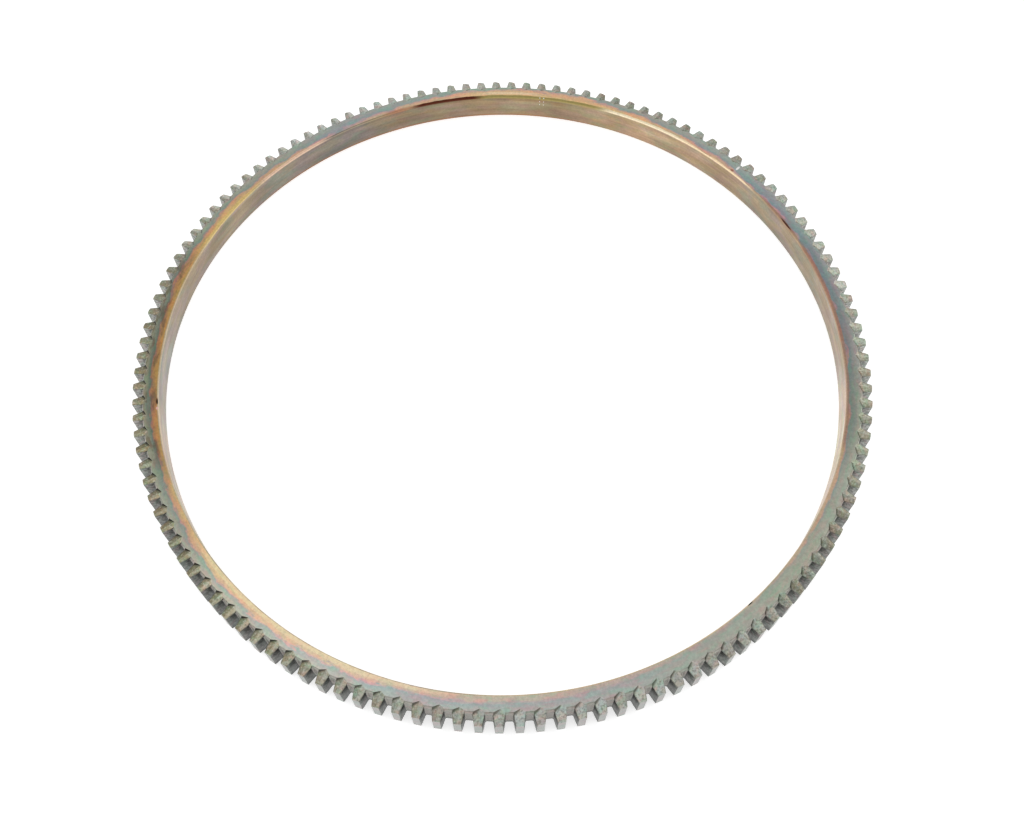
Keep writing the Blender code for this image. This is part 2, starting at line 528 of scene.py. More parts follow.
    def build(self) -> bpy.types.Object:
        """Build the pitch.

        Returns:
            An object with one open pitch, whose faces carry what the material reads.
        """
        body = self.blank()
        self.cut_ends(body)
        self.break_edges(body)
        bm = bmesh.new()
        bm.from_mesh(body.data)
        self.open_sides(bm)
        kind = bm.faces.layers.float.new(SURFACE_KIND)
        broken = bm.faces.layers.float.new(BROKEN_EDGE)
        for face in bm.faces:
            face[kind] = self.surface_of(face).value
            face[broken] = float(face.material_index == 1)
            face.material_index = 0
            face.smooth = True
        bm.to_mesh(body.data)
        bm.free()
        body.data.materials.clear()
        for name in self.guides:
            bpy.data.materials.remove(bpy.data.materials[name])
        LOG.info("pitch: %d faces", len(body.data.polygons))
        return body


@dataclass(frozen=True)
class Fade:
    """A smooth step of a value from low to high, which gives start to end."""

    low: Term | float
    high: Term | float
    start: float = 0.0
    end: float = 1.0


@dataclass(frozen=True)
class Noise:
    """A noise pattern, with its scale in repeats per unit of the vector that it reads."""

    scale: float
    detail: float = 3.0
    rough: float = 0.6
    bend: float = 0.0


@dataclass(frozen=True)
class Mottle:
    """A noise pattern and the fade that makes a mask of it."""

    noise: Noise
    fade: Fade


class Term:
    """A result in a node tree, so that a pattern reads as a formula."""

    def __init__(self, sheet: NodeSheet, socket: bpy.types.NodeSocket) -> None:
        """Keep the sheet of the tree and the socket that gives the result."""
        self.sheet = sheet
        self.socket = socket

    def __add__(self, other: Term | float) -> Term:
        """Add a value."""
        return self.sheet.math("ADD", self, other)

    def __sub__(self, other: Term | float) -> Term:
        """Take a value away."""
        return self.sheet.math("SUBTRACT", self, other)

    def __rsub__(self, other: float) -> Term:
        """Take this result away from a value."""
        return self.sheet.math("SUBTRACT", other, self)

    def __mul__(self, other: Term | float) -> Term:
        """Multiply by a value."""
        return self.sheet.math("MULTIPLY", self, other)

    def __truediv__(self, other: Term | float) -> Term:
        """Divide by a value."""
        return self.sheet.math("DIVIDE", self, other)


class NodeSheet:
    """Adds nodes to one tree and links them."""

    def __init__(self, tree: bpy.types.NodeTree) -> None:
        """Keep the tree that the nodes go into."""
        self.tree = tree

    def add(self, kind: str, **settings: object) -> bpy.types.Node:
        """Add a node and set its options.

        Args:
            kind: The node's type name.
            **settings: Options of the node.

        Returns:
            The new node.
        """
        node = self.tree.nodes.new(kind)
        for name, value in settings.items():
            setattr(node, name, value)
        return node

    def feed(self, socket: bpy.types.NodeSocket, value: object) -> None:
        """Link a socket or set its value.

        Args:
            socket: The input to feed.
            value: A result, another socket or a plain value.
        """
        source = value.socket if isinstance(value, Term) else value
        if isinstance(source, bpy.types.NodeSocket):
            self.tree.links.new(source, socket)
        else:
            socket.default_value = source

    def feed_all(self, node: bpy.types.Node, values: dict[str, object]) -> bpy.types.Node:
        """Feed a node's sockets by name and return the node."""
        for name, value in values.items():
            self.feed(node.inputs[name], value)
        return node

    def result(self, node: bpy.types.Node, *values: object, output: int | str = 0) -> Term:
        """Feed a node's first sockets.

        Args:
            node: The node.
            *values: A value or a result for each socket, in order.
            output: Which output to return.

        Returns:
            The node's result.
        """
        for socket, value in zip(node.inputs, values):
            self.feed(socket, value)
        return Term(self, node.outputs[output])

    def math(self, operation: str, *values: object, clamp: bool = False) -> Term:
        """Add a Math node.

        Args:
            operation: What the node works out.
            *values: A value or a result for each socket.
            clamp: True to keep the result from 0 to 1.

        Returns:
            The result.
        """
        node = self.add("ShaderNodeMath", operation=operation, use_clamp=clamp)
        return self.result(node, *values)

    def vector(self, operation: str, *values: object) -> Term:
        """Add a Vector Math node.

        Args:
            operation: What the node works out.
            *values: A value or a result for each socket.

        Returns:
            Its vector, or its value for a length.
        """
        node = self.add("ShaderNodeVectorMath", operation=operation)
        return self.result(node, *values, output="Value" if operation == "LENGTH" else "Vector")

    def mix(self, share: object, first: object, second: object, blend: str = "MIX") -> Term:
        """Mix two colours.

        Args:
            share: Share of the second colour.
            first: The first colour.
            second: The second colour.
            blend: How the second colour acts on the first.

        Returns:
            The colour.
        """
        node = self.add("ShaderNodeMix", data_type="RGBA", blend_type=blend, clamp_factor=True)
        self.feed(node.inputs["Factor"], share)
        self.feed(node.inputs[6], first)
        self.feed(node.inputs[7], second)
        return Term(self, node.outputs[2])

    def cast(self, shade: object, cast: object, share: object = 1.0) -> Term:
        """Multiply a colour by a cast or by a darkness."""
        return self.mix(share, shade, cast, "MULTIPLY")

    def fade(self, value: object, fade: Fade) -> Term:
        """Return a smooth step of a value."""
        node = self.add("ShaderNodeMapRange", interpolation_type="SMOOTHSTEP")
        return self.result(node, value, fade.low, fade.high, fade.start, fade.end)

    def noise(self, vector: object, noise: Noise) -> Term:
        """Add a Noise node.

        Args:
            vector: Where the pattern is read.
            noise: The pattern.

        Returns:
            Its value, about 0.5 on average.
        """
        node = self.add("ShaderNodeTexNoise")
        self.feed_all(node, {
            "Vector": vector, "Scale": noise.scale, "Detail": noise.detail,
            "Roughness": noise.rough, "Distortion": noise.bend,
        })
        return Term(self, node.outputs["Fac"])

    def mottle(self, vector: object, mottle: Mottle) -> Term:
        """Return a noise pattern as a mask."""
        return self.fade(self.noise(vector, mottle.noise), mottle.fade)

    def ramp(self, value: object, stops: list[tuple[float, Colour]]) -> Term:
        """Add a Color Ramp that eases from stop to stop.

        Args:
            value: Where to read the ramp, from 0 to 1.
            stops: Places and colours, in order.

        Returns:
            The colour.
        """
        node = self.add("ShaderNodeValToRGB")
        ramp = node.color_ramp
        ramp.interpolation = "EASE"
        while len(ramp.elements) < len(stops):
            ramp.elements.new(1.0)
        for element, (place, shade) in zip(ramp.elements, stops):
            element.position = place
            element.color = shade
        return self.result(node, value)

    def parts(self, kind: str, whole: object) -> list[Term]:
        """Return the three parts that a separating node makes of a vector or a colour."""
        node = self.add(kind)
        self.feed(node.inputs[0], whole)
        return [Term(self, socket) for socket in node.outputs]

    def join(self, *parts: object) -> Term:
        """Return a vector from its three parts."""
        return self.result(self.add("ShaderNodeCombineXYZ"), *parts)


FLOAT = "NodeSocketFloat"
COLOUR = "NodeSocketColor"
VECTOR = "NodeSocketVector"
WHOLE = "NodeSocketInt"
GEOMETRY = "NodeSocketGeometry"
SOCKET_KINDS = {"VALUE": FLOAT, "RGBA": COLOUR, "VECTOR": VECTOR}
NOWHERE = (0.0, 0.0, 0.0)

Place = dict[str, Term]


def label(name: str) -> str:
    """Return a socket's label for a name in the script."""
    return name.replace("_", " ").capitalize()


@dataclass
class ShaderGroup:
    """A shader node group with named inputs and outputs."""

    name: str
    tree: bpy.types.NodeTree = field(init=False)
    sheet: NodeSheet = field(init=False)

    def __post_init__(self) -> None:
        """Make the empty group."""
        self.tree = bpy.data.node_groups.new(self.name, "ShaderNodeTree")
        self.sheet = NodeSheet(self.tree)

    def inputs(self, **starts: float | tuple[float, ...]) -> dict[str, Term]:
        """Add inputs.

        Args:
            **starts: Each input's starting value, which also gives its kind.

        Returns:
            The values that come in, by name.
        """
        for name, start in starts.items():
            kind = FLOAT if isinstance(start, float) else {3: VECTOR, 4: COLOUR}[len(start)]
            item = self.tree.interface.new_socket(label(name), in_out="INPUT", socket_type=kind)
            item.default_value = start
        node = self.sheet.add("NodeGroupInput")
        return {name: Term(self.sheet, node.outputs[i]) for i, name in enumerate(starts)}

    def outputs(self, **results: Term) -> None:
        """Add outputs and link each to its result."""
        node = self.sheet.add("NodeGroupOutput")
        for i, (name, result) in enumerate(results.items()):
            kind = SOCKET_KINDS[result.socket.type]
            self.tree.interface.new_socket(label(name), in_out="OUTPUT", socket_type=kind)
            self.sheet.feed(node.inputs[i], result)

    def place(self, sheet: NodeSheet, **values: object) -> dict[str, Term]:
        """Place the group in another tree.

        Args:
            sheet: The sheet of the tree that it goes into.
            **values: Values or results for its inputs.

        Returns:
            Its results, by label.
        """
        node = sheet.add("ShaderNodeGroup", node_tree=self.tree)
        sheet.feed_all(node, {label(name): value for name, value in values.items()})
        return {socket.name: Term(sheet, socket) for socket in node.outputs}


def ring_place_group(sizes: RingSizes) -> ShaderGroup:
    """Make the group that gives a point's place on the ring.

    Args:
        sizes: The ring's sizes.

    Returns:
        A group with the share of a turn from +X, the share of the wall from the bore to the
        root circle, the height share, the side of the tooth from -1 to 1, its number, the radius
        and a vector for patterns that run along the rim.
    """
    along_rim = 0.35
    group = ShaderGroup("ring_place")
    sheet = group.sheet
    x, y, z = sheet.parts("ShaderNodeSeparateXYZ", group.inputs(point=NOWHERE)["point"])
    around = sheet.math("FRACT", sheet.math("ARCTAN2", y, x) / (2.0 * math.pi))
    radius = sheet.vector("LENGTH", sheet.join(x, y, 0.0))
    pitches = around * float(sizes.teeth) + 0.5
    group.outputs(
        around=around,
        across=(radius - sizes.bore_radius) / (sizes.root_radius - sizes.bore_radius),
        height=z / sizes.face_width,
        side=sheet.math("FRACT", pitches) * 2.0 - 1.0,
        tooth=sheet.math("FLOOR", pitches),
        radius=radius,
        flow=sheet.join(x * along_rim, y * along_rim, radius + z),
    )
    return group


HEAT_STEPS = {
    "copper": Fade(0.16, 0.40),
    "rose": Fade(0.45, 0.50),
    "slate": Fade(0.52, 0.60),
    "scale": Fade(0.62, 0.90),
}


def heat_tint_group() -> ShaderGroup:
    """Make the group that colours steel by how hot it was when it oxidised.

    Returns:
        A group whose Heat input runs from 0, pale straw, to 1, the grey of scaled steel.
    """
    group = ShaderGroup("heat_tint")
    plain = colour(0.5, 0.4, 0.3)
    given = group.inputs(heat=0.5, straw=plain, **{name: plain for name in HEAT_STEPS})
    shade = given["straw"]
    for name, fade in HEAT_STEPS.items():
        shade = group.sheet.mix(group.sheet.fade(given["heat"], fade), shade, given[name])
    group.outputs(color=shade)
    return group


def grain_group() -> ShaderGroup:
    """Make the group for the fine mottle and pits of scaled steel.

    Returns:
        A group with a mottle from 0 to 1 and a height for bump.
    """
    fine_share = 0.4
    group = ShaderGroup("steel_grain")
    sheet = group.sheet
    given = group.inputs(point=NOWHERE, size=0.001, contrast=1.0)
    scaled = sheet.vector("DIVIDE", given["point"], sheet.join(*[given["size"]] * 3))
    coarse = sheet.noise(scaled, Noise(1.0, detail=4.0))
    fine = sheet.noise(scaled, Noise(4.5, detail=2.0))
    both = fine * fine_share + coarse * (1.0 - fine_share)
    mottle = sheet.math("ADD", (both - 0.5) * given["contrast"], 0.5, clamp=True)
    group.outputs(mottle=mottle, height=both)
    return group


def streak_group() -> ShaderGroup:
    """Make the group for the lines that turning leaves around the ring.

    Returns:
        A group with streaks from 0 to 1 that run along the circles about the axis.
    """
    group = ShaderGroup("turned_streaks")
    sheet = group.sheet
    given = group.inputs(point=NOWHERE, radius=0.0, along=20.0, across=1500.0)
    x, y, z = sheet.parts("ShaderNodeSeparateXYZ", given["point"])
    along = given["along"]
    lines = sheet.join(x * along, y * along, (given["radius"] + z) * given["across"])
    group.outputs(streak=sheet.noise(lines, Noise(1.0)))
    return group


def spot_group() -> ShaderGroup:
    """Make the group for one mark on the ring.

    Returns:
        A group with a mask that is 1 inside an oval about a point, with a soft edge.
    """
    group = ShaderGroup("mark_spot")
    sheet = group.sheet
    given = group.inputs(point=NOWHERE, centre=NOWHERE, turn=0.0, reach=(MM, MM, MM))
    spin = sheet.add("ShaderNodeVectorRotate", rotation_type="Z_AXIS")
    sheet.feed_all(spin, {
        "Vector": sheet.vector("SUBTRACT", given["point"], given["centre"]),
        "Angle": given["turn"] * -1.0,
    })
    share = sheet.vector("LENGTH", sheet.vector("DIVIDE", spin.outputs[0], given["reach"]))
    group.outputs(mask=sheet.fade(share, Fade(1.0, 0.6)))
    return group


def edge_arc_group() -> ShaderGroup:
    """Make the group for one stretch along the bore's edge.

    Returns:
        A group with a mask that is 1 between two angles and two shares of the wall.
    """
    group = ShaderGroup("edge_arc")
    sheet = group.sheet
    given = group.inputs(
        around=0.0, across=0.0, start=0.0, end=1.0, inner=0.0, outer=1.0, blur=0.01
    )
    soft = 0.035
    blur = given["blur"]
    sides = (
        (given["around"], given["start"], given["start"] + blur),
        (given["around"], given["end"], given["end"] - blur),
        (given["across"], given["inner"], given["inner"] + soft),
        (given["across"], given["outer"], given["outer"] - soft),
    )
    masks = [sheet.fade(value, Fade(outside, inside)) for value, outside, inside in sides]
    group.outputs(mask=masks[0] * masks[1] * masks[2] * masks[3])
    return group


@dataclass(frozen=True)
class Mark:
    """A small mark on the ring, which is cut in as a dent or only coloured.

    Angles are in degrees, with heading 0 along the radius and 90 along the rim. Stain says how
    far the colour reaches, in shares of the length, the width and the depth.
    """

    name: str
    angle: float
    radius: float
    length: float
    width: float
    depth: float
    heading: float
    shade: Colour
    cut: bool = True
    height: float = 16.0 * MM
    stain: tuple[float, float, float] = (0.55, 0.62, 1.6)

    def centre(self) -> Vector:
        """Return the mark's middle."""
        return polar(self.radius, math.radians(self.angle), self.height)

    def turn(self) -> float:
        """Return the angle of the mark's long side from +X."""
        return math.radians(self.angle + self.heading)

    def add_cutter(self, bm: bmesh.types.BMesh) -> None:
        """Add a low-poly oval that cuts the dent."""
        made = bmesh.ops.create_icosphere(bm, subdivisions=2, radius=1.0)["verts"]
        reach = Vector((0.5 * self.length, 0.5 * self.width, self.depth))
        bmesh.ops.scale(bm, vec=reach, verts=made)
        place = Matrix.Translation(self.centre()) @ Matrix.Rotation(self.turn(), 4, "Z")
        bmesh.ops.transform(bm, matrix=place, verts=made)

    def paint(self, sheet: NodeSheet, spots: ShaderGroup, point: Term, shade: Term) -> Term:
        """Colour the mark.

        Args:
            sheet: The material's sheet.
            spots: The group for one mark.
            point: Object coordinates.
            shade: The colour below.

        Returns:
            The colour.
        """
        sizes = (self.length, self.width, self.depth)
        reach = Vector(size * share for size, share in zip(sizes, self.stain))
        mask = spots.place(
            sheet, point=point, centre=self.centre(), turn=self.turn(), reach=reach
        )["Mask"]
        return sheet.mix(mask, shade, self.shade)


BLACK_PIT = colour(0.012, 0.011, 0.010)
BRIGHT_METAL = colour(0.93, 0.92, 0.90)
WARM_SPOT = colour(0.80, 0.52, 0.44)
BRICK_SPOT = colour(0.42, 0.19, 0.13)
BROWN_SPOT = colour(0.09, 0.035, 0.025)


def spatter() -> tuple[Mark, ...]:
    """Make the tiny bright dots at the top of the bore, in three rows of two.

    Returns:
        The marks. A row gives their radius, height and size in millimetres.
    """
    rows = ((182.6, 16.0, 0.75), (182.0, 13.4, 0.55), (182.0, 10.8, 0.50))
    dots = []
    for radius, height, size in rows:
        for angle in (80.2, 80.95):
            dots.append(Mark(
                f"dot_{len(dots)}", angle, radius * MM, size * MM, size * MM, 0.4 * size * MM, 0.0,
                BRIGHT_METAL, False, height * MM,
            ))
    return tuple(dots)


MARKS = (
    Mark("rim_nick_left", 187.7, 182.6 * MM, 4.2 * MM, 0.9 * MM, 0.55 * MM, 90.0, BLACK_PIT),
    Mark("rim_nick_right", 308.4, 182.4 * MM, 3.4 * MM, 0.6 * MM, 0.45 * MM, 90.0, BLACK_PIT),
    Mark("face_nick", 40.2, 187.0 * MM, 4.2 * MM, 1.3 * MM, 0.25 * MM, 4.0, BRIGHT_METAL),
    Mark("pink_spot", 189.0, 182.6 * MM, 2.0 * MM, 1.3 * MM, 0.6 * MM, 90.0, WARM_SPOT, False),
    Mark("brick_spot", 40.6, 183.3 * MM, 2.4 * MM, 1.6 * MM, 0.8 * MM, 90.0, BRICK_SPOT, False),
    Mark("brown_spot", 25.6, 182.7 * MM, 11.0 * MM, 1.0 * MM, 0.9 * MM, 90.0, BROWN_SPOT, False),
) + spatter()


class Cast:
    """Colours that multiply the steel's, as thin films do."""

    GREEN: Colour = colour(0.80, 1.05, 0.93)
    PINK: Colour = colour(1.18, 0.90, 0.93)
    OLIVE: Colour = colour(1.05, 0.99, 0.78)
    GOLD: Colour = colour(1.15, 1.00, 0.70)
    BLUE: Colour = colour(0.88, 1.00, 1.12)
    VIOLET: Colour = colour(0.98, 0.86, 1.06)
    CLEAR: Colour = colour(0.97, 0.98, 1.14)
    MOSS: Colour = colour(1.02, 0.89, 0.64)


def film(sheet: NodeSheet, shade: Term, depth: Term) -> Term:
    """Darken a colour as a thicker film does, half of it by richer colour.

    Args:
        sheet: The material's sheet.
        shade: The colour at depth 1.
        depth: How deep the film is.

    Returns:
        The colour.
    """
    left_by_one = 0.45
    plain = sheet.cast(shade, sheet.math("POWER", left_by_one, depth - 1.0))
    rich = sheet.result(sheet.add("ShaderNodeGamma"), shade, depth)
    return sheet.mix(0.5, rich, plain)


def around_ring(sheet: NodeSheet, around: Term, stops: tuple, *names: str) -> list[Term]:
    """Read up to three values of a row of stops at each angle.

    Args:
        sheet: The material's sheet.
        around: Share of a turn from +X.
        stops: The stops, from 0 to 360 degrees.
        *names: Names of the values.

    Returns:
        A result for each name. Ramps hold halves, because values go up to 2.
    """
    spare = [0.0] * (3 - len(names))
    rows = [
        (stop.angle / 360.0, colour(*[0.5 * getattr(stop, name) for name in names], *spare))
        for stop in stops
    ]
    values = sheet.parts("ShaderNodeSeparateColor", sheet.ramp(around, rows))
    return [value * 2.0 for value in values[:len(names)]]


@dataclass(frozen=True)
class TintStop:
    """The heat tint of the face at one angle around the ring, in degrees.

    Heat is how far the tint has gone at the bore's edge, band the share of the wall over which it
    goes on to grey, strength how full it is, depth how dark the film is and cool how blue it is.
    """

    angle: float
    heat: float
    band: float
    strength: float
    depth: float
    cool: float


@dataclass(frozen=True)
class FaceFilm:
    """The heat tint of the upper and lower face, which spread inward from the teeth."""

    straw: Colour = colour(0.80, 0.58, 0.31)
    copper: Colour = colour(0.71, 0.48, 0.32)
    rose: Colour = colour(0.60, 0.40, 0.385)
    slate: Colour = colour(0.34, 0.415, 0.405)
    scale: Colour = colour(0.42, 0.45, 0.40)
    brown: Colour = colour(0.15, 0.105, 0.065)
    grey_heat: float = 0.62
    unrest: Fade = Fade(0.30, 0.80, 0.40, 1.0)
    wave: Noise = Noise(170.0, detail=4.0)
    wave_height: float = 0.80
    flicker: Noise = Noise(420.0)
    flicker_height: float = 0.50
    cloud: Mottle = Mottle(Noise(150.0, bend=0.6), Fade(0.42, 0.60))
    thinning: Fade = Fade(0.30, 0.95, 0.0, -0.5)
    patches: Mottle = Mottle(Noise(300.0), Fade(0.47, 0.60))
    patch_depth: Fade = Fade(1.55, 1.85)
    patch_start: Fade = Fade(0.10, 0.35)
    patch_end: Fade = Fade(1.15, 0.90)
    patch_share: float = 0.6
    stops: tuple[TintStop, ...] = (
        TintStop(0.0, 0.46, 0.28, 0.80, 1.50, 0.75),
        TintStop(15.0, 0.45, 0.28, 0.85, 1.42, 0.90),
        TintStop(30.0, 0.42, 0.30, 0.85, 1.16, 0.90),
        TintStop(45.0, 0.24, 0.36, 0.90, 1.02, 0.65),
        TintStop(60.0, 0.02, 0.50, 1.00, 1.00, 0.45),
        TintStop(76.0, 0.05, 0.80, 1.00, 0.94, 0.30),
        TintStop(92.0, 0.16, 0.86, 0.95, 0.88, 0.25),
        TintStop(106.0, 0.26, 0.55, 0.90, 0.98, 0.55),
        TintStop(120.0, 0.38, 0.34, 0.75, 1.04, 0.80),
        TintStop(134.0, 0.14, 0.34, 0.85, 1.14, 0.45),
        TintStop(149.0, 0.00, 0.66, 1.00, 1.22, 0.25),
        TintStop(165.0, 0.00, 0.62, 0.95, 1.86, 0.20),
        TintStop(180.0, 0.04, 0.54, 0.90, 2.00, 0.10),
        TintStop(194.0, 0.07, 0.52, 0.89, 1.86, 0.18),
        TintStop(208.0, 0.13, 0.54, 0.91, 1.12, 0.34),
        TintStop(225.0, 0.00, 0.57, 0.95, 0.61, 0.33),
        TintStop(240.0, 0.00, 0.61, 0.95, 0.50, 0.45),
        TintStop(255.0, 0.06, 0.52, 0.72, 0.66, 0.70),
        TintStop(270.0, 0.16, 0.50, 0.46, 0.77, 0.70),
        TintStop(285.0, 0.24, 0.46, 0.36, 0.84, 0.68),
        TintStop(302.0, 0.40, 0.25, 0.25, 0.94, 0.48),
        TintStop(318.0, 0.28, 0.22, 0.40, 1.00, 0.35),
        TintStop(332.0, 0.20, 0.26, 0.80, 1.08, 0.45),
        TintStop(347.0, 0.46, 0.28, 0.80, 1.48, 0.40),
        TintStop(360.0, 0.46, 0.28, 0.80, 1.50, 0.75),
    )

    def tint(self, sheet: NodeSheet, heat: Term) -> Term:
        """Return the colour of a heat."""
        names = ("straw", *HEAT_STEPS)
        shades = {name: getattr(self, name) for name in names}
        return heat_tint_group().place(sheet, heat=heat, **shades)["Color"]

    def paint(self, sheet: NodeSheet, place: Place) -> Term:
        """Colour the face.

        Args:
            sheet: The material's sheet.
            place: Results of the ring place group.

        Returns:
            The colour.
        """
        around, flow = place["Around"], place["Flow"]
        heat, band, depth = around_ring(sheet, around, self.stops, "heat", "band", "depth")
        strength, cool = around_ring(sheet, around, self.stops, "strength", "cool")
        unrest = sheet.fade(strength, self.unrest)
        wave = (sheet.noise(flow, self.wave) - 0.5) * self.wave_height
        across = wave * unrest + place["Across"]
        flicker = (sheet.noise(flow, self.flicker) - 0.5) * self.flicker_height
        now = across / band * (self.grey_heat - heat) + heat
        tint = self.tint(sheet, sheet.math("ADD", flicker * unrest, now, clamp=True))
        cast = sheet.mix(sheet.mottle(flow, self.cloud), Cast.VIOLET, Cast.BLUE)
        cast = sheet.mix(cool, Cast.OLIVE, cast)
        extra = sheet.math("MAXIMUM", depth - 1.0, 0.0)
        here = extra * sheet.fade(across, self.thinning) + depth
        shade = film(sheet, sheet.mix(strength, self.scale, tint), here)
        shade = sheet.cast(shade, cast)
        zone = sheet.fade(across, self.patch_start) * sheet.fade(across, self.patch_end)
        dark = sheet.fade(depth, self.patch_depth) * sheet.mottle(flow, self.patches) * zone
        return sheet.mix(dark * self.patch_share, shade, self.brown)


@dataclass(frozen=True)
class BoreStop:
    """The film on the bore at one angle, in degrees: how dark and how yellow it is."""

    angle: float
    depth: float
    warmth: float


@dataclass(frozen=True)
class BoreFilm:
    """The film on the bore, with the level streaks that turning left in it."""

    cool: Colour = colour(0.455, 0.435, 0.40)
    warm: Colour = colour(0.54, 0.41, 0.26)
    gilt: Colour = colour(0.72, 0.56, 0.32)
    # Browner and darker towards the bottom of the bore at the back.
    bore_foot_brown: Colour = colour(0.40, 0.17, 0.06)
    wide_along: float = 9.0
    wide_across: float = 420.0
    fine_along: float = 25.0
    fine_across: float = 1900.0
    fine_share: float = 0.45
    bands: Fade = Fade(0.36, 0.64, -0.14, 0.14)
    blotches: Noise = Noise(120.0)
    blotch_height: float = 1.2
    first_cloud: Mottle = Mottle(Noise(140.0, detail=2.0, bend=0.5), Fade(0.42, 0.60))
    second_cloud: Mottle = Mottle(Noise(190.0, detail=2.0, bend=0.5), Fade(0.42, 0.60))
    cast_share: float = 0.45
    gilt_height: Fade = Fade(0.90, 0.97)
    gilt_streaks: Fade = Fade(0.35, 0.60, 0.0, 0.55)
    bore_foot_height: Fade = Fade(0.12, 0.03, 0.0, 0.8)
    bore_foot_start: Fade = Fade(0.17, 0.24)
    bore_foot_end: Fade = Fade(0.42, 0.35)
    stops: tuple[BoreStop, ...] = (
        BoreStop(0.0, 1.25, 0.45),
        BoreStop(15.0, 1.40, 0.34),
        BoreStop(30.0, 1.48, 0.45),
        BoreStop(60.0, 1.26, 0.85),
        BoreStop(76.0, 1.64, 0.80),
        BoreStop(106.0, 1.86, 0.60),
        BoreStop(120.0, 1.96, 0.05),
        BoreStop(135.0, 1.70, 0.15),
        BoreStop(150.0, 1.46, 0.45),
        BoreStop(165.0, 1.48, 0.35),
        BoreStop(180.0, 1.38, 0.02),
        BoreStop(195.0, 1.14, 0.30),
        BoreStop(225.0, 1.15, 0.40),
        BoreStop(320.0, 1.00, 0.45),
        BoreStop(345.0, 0.72, 0.40),
        BoreStop(360.0, 1.25, 0.45),
    )

    def paint(self, sheet: NodeSheet, place: Place, streaks: ShaderGroup, point: Term) -> Term:
        """Colour the bore.

        Args:
            sheet: The material's sheet.
            place: Results of the ring place group.
            streaks: The group for turned lines.
            point: Object coordinates.

        Returns:
            The colour.
        """
        around, height, flow = place["Around"], place["Height"], place["Flow"]
        depth, warmth = around_ring(sheet, around, self.stops, "depth", "warmth")
        shade = sheet.mix(warmth, self.cool, self.warm)
        wide, fine = (
            streaks.place(sheet, point=point, along=along, across=across)["Streak"]
            for along, across in (
                (self.wide_along, self.wide_across), (self.fine_along, self.fine_across),
            )
        )
        bands = sheet.fade(fine * self.fine_share + wide * (1.0 - self.fine_share), self.bands)
        blotch = (0.5 - sheet.noise(flow, self.blotches)) * self.blotch_height
        shade = film(sheet, shade, blotch + depth - bands)
        second = sheet.mottle(flow, self.second_cloud)
        cast = sheet.mix(
            sheet.mottle(flow, self.first_cloud), sheet.mix(second, Cast.GOLD, Cast.PINK),
            sheet.mix(second, Cast.GREEN, Cast.VIOLET),
        )
        shade = sheet.cast(shade, cast, self.cast_share)
        top = sheet.fade(height, self.gilt_height) * sheet.fade(wide, self.gilt_streaks)
        shade = sheet.mix(top, shade, self.gilt)
        # Browner and darker towards the bottom of the bore at the back.
        back = sheet.fade(around, self.bore_foot_start) * sheet.fade(around, self.bore_foot_end)
        return sheet.mix(sheet.fade(height, self.bore_foot_height) * back, shade, self.bore_foot_brown)


@dataclass(frozen=True)
class ToothStop:
    """The film on the teeth at one angle, in degrees.

    Deep and shallow say how dark the two facets of the pointed ends are, partly by the film's real
    change around the ring and partly as painted shade and light for how each facet faces the
    lamps.
    Flank is painted light: how lit the sides of the teeth and the gap roots are. Wall is painted
    light too: how lit the steep wall next to the deep facet is. Olive says how yellow the ends
    are.
    """

    angle: float
    deep: float
    shallow: float
    flank: float
    wall: float
    olive: float


